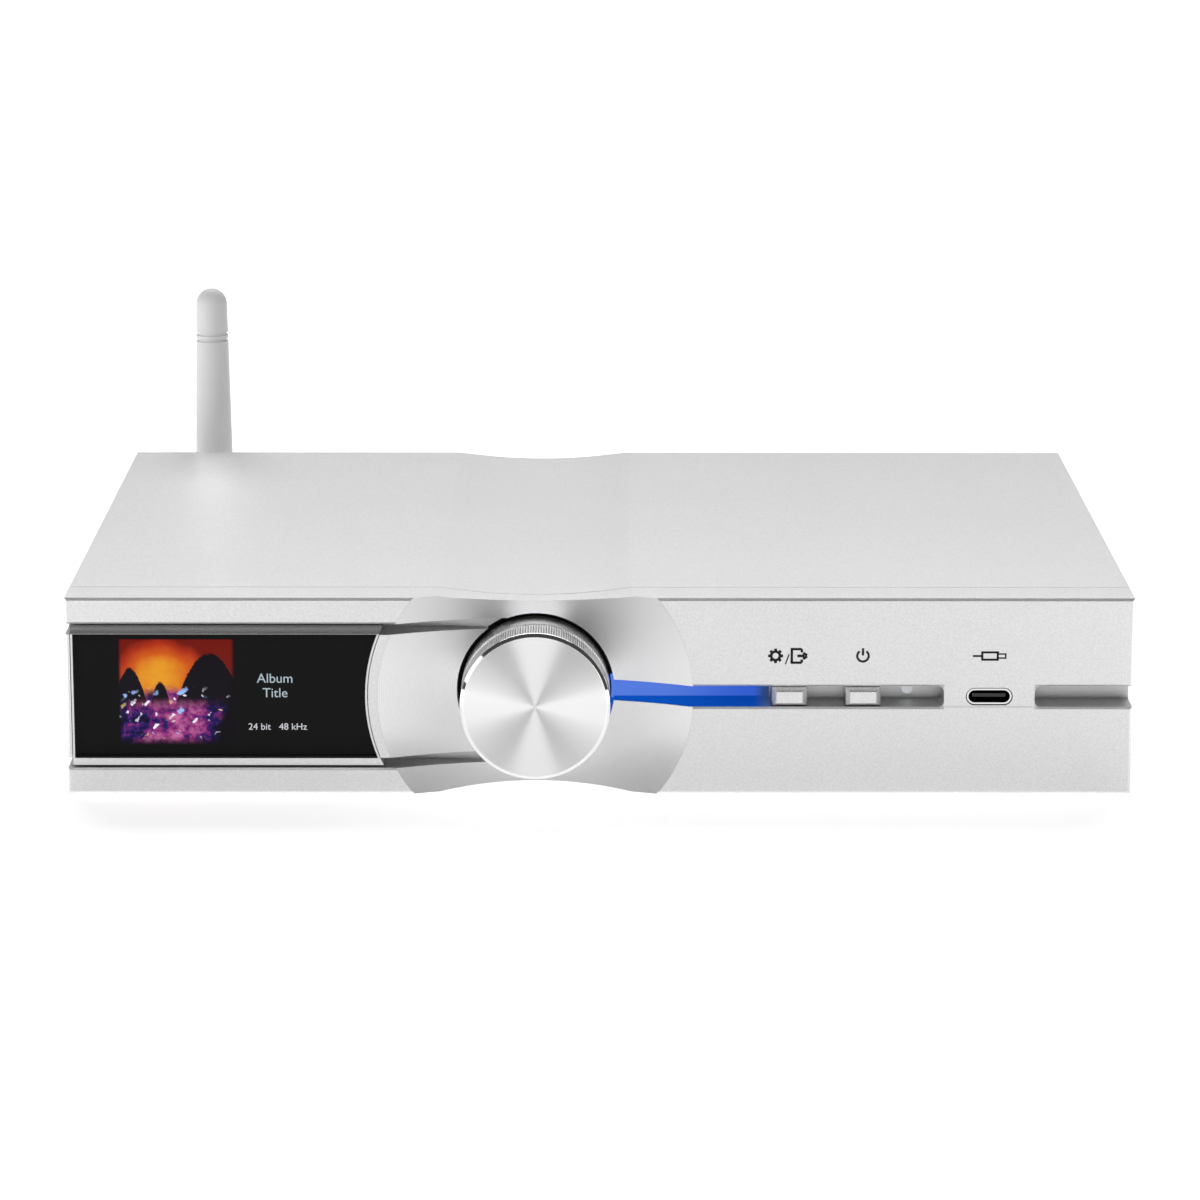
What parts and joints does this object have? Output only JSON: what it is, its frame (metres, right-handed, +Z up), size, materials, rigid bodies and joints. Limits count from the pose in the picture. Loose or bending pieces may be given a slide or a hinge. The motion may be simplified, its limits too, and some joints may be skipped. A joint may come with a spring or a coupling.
{
  "type": "network audio player",
  "caption": "Slim aluminium desktop audio player with a dished front, push-and-turn knob, colour display, push buttons and a tilting aerial.",
  "frame": {"origin": "bottom centre of the whole object's box, knob and aerial included, on the surface it stands on", "axes": "+X to the right seen from the front, +Y to the rear, +Z up"},
  "size_m": [0.214, 0.177, 0.0773],
  "materials": {
    "blasted_aluminium": "fine grit-blasted and clear anodised",
    "frame_aluminium": "milled, clear anodised",
    "turned_aluminium": "lathe-turned face, bright chamfer, straight knurl",
    "button_aluminium": "fine grit-blasted caps with bevelled edges",
    "dark_steel": "black oxide",
    "plain_steel": "plain",
    "bright_steel": "nickel plated",
    "dark_metal": "black",
    "gold_plate": "gold plated",
    "foot_rubber": "matte",
    "display_glass": "gloss black cover over a colour display",
    "clear_lens": "clear lens",
    "blue_light_guide": "lit blue from behind",
    "led_white": "moulded",
    "flex_cable": "polyimide film",
    "circuit_board": "solder mask",
    "black_plastic": "moulded",
    "white_plastic": "moulded",
    "orange_plastic": "moulded",
    "shutter_plastic": "moulded",
    "relay_plastic": "moulded",
    "ferrite": "matte",
    "capacitor_sleeve": "shrink sleeve",
    "aerial_plastic": "fine matt light grey"
  },
  "bodies": {
    "player": {"front_panel": "blasted_aluminium", "body_sleeve": "blasted_aluminium", "rear_panel": "blasted_aluminium", "case_bolts": "dark_steel", "rubber_feet": "foot_rubber", "display_frame": "frame_aluminium", "display_glass": "display_glass", "display_module": "dark_metal", "display_cable": "flex_cable", "encoder_body": "plain_steel", "encoder_nut": "plain_steel", "settings_switch": "black_plastic", "power_switch": "black_plastic", "status_light_lens": "clear_lens", "light_guide": "blue_light_guide", "light_guide_led": "led_white", "usb_c_shell": "bright_steel", "usb_c_tongue": "black_plastic", "front_board": "circuit_board", "front_ribbon_cable": "flex_cable", "main_board": "circuit_board", "processor": "black_plastic", "heat_sink": "frame_aluminium", "audio_shield_can": "plain_steel", "output_relays": "relay_plastic", "power_coil": "ferrite", "capacitors": "capacitor_sleeve", "wifi_module": "plain_steel", "wifi_lead": "black_plastic", "power_inlet": "black_plastic", "power_inlet_pin": "bright_steel", "ethernet_jack": "bright_steel", "usb_a_shells": "bright_steel", "usb_a_tongues": "white_plastic", "optical_output": "black_plastic", "optical_shutter_pin": "bright_steel", "coaxial_output": "gold_plate", "coaxial_insulator": "orange_plastic", "line_outputs": "gold_plate", "line_insulators": "white_plastic", "balanced_output": "gold_plate", "aerial_socket": "gold_plate", "aerial_nut": "gold_plate", "aerial_collar": "aerial_plastic"},
    "knob_plunger": {"encoder_plunger": "black_plastic"},
    "knob": {"volume_knob": "turned_aluminium", "encoder_shaft": "plain_steel"},
    "settings_key": {"settings_button": "button_aluminium"},
    "power_key": {"power_button": "button_aluminium"},
    "optical_flap": {"optical_shutter": "shutter_plastic"},
    "aerial_base": {"aerial_knuckle": "aerial_plastic", "aerial_pin": "bright_steel"},
    "aerial": {"aerial_whip": "aerial_plastic"}
  },
  "joints": [
    {"name": "knob_press", "type": "slide", "parent": "player", "child": "knob_plunger", "axis": [0, 1, 0], "range_m": [0, 0.0005], "stiffness_N_per_m": 1500},
    {"name": "knob_turn", "type": "hinge", "parent": "knob_plunger", "child": "knob", "pos_m": [-0.0129, -0.08, 0.0208], "axis": [0, 1, 0], "continuous": true},
    {"name": "settings_press", "type": "slide", "parent": "player", "child": "settings_key", "axis": [0, 1, 0], "range_m": [0, 0.0004], "stiffness_N_per_m": 1200},
    {"name": "power_press", "type": "slide", "parent": "player", "child": "power_key", "axis": [0, 1, 0], "range_m": [0, 0.0004], "stiffness_N_per_m": 1200},
    {"name": "optical_flap_swing", "type": "hinge", "parent": "player", "child": "optical_flap", "pos_m": [0.016, 0.0664, 0.0242], "axis": [-1, 0, 0], "range_deg": [0, 80], "stiffness_Nm_per_rad": 0.0005},
    {"name": "aerial_swivel", "type": "hinge", "parent": "player", "child": "aerial_base", "pos_m": [-0.0903, 0.084, 0.0208], "axis": [0, 1, 0], "range_deg": [-90, 90]},
    {"name": "aerial_tilt", "type": "hinge", "parent": "aerial_base", "child": "aerial", "pos_m": [-0.0903, 0.084, 0.0208], "axis": [-1, 0, 0], "range_deg": [0, 90]}
  ]
}
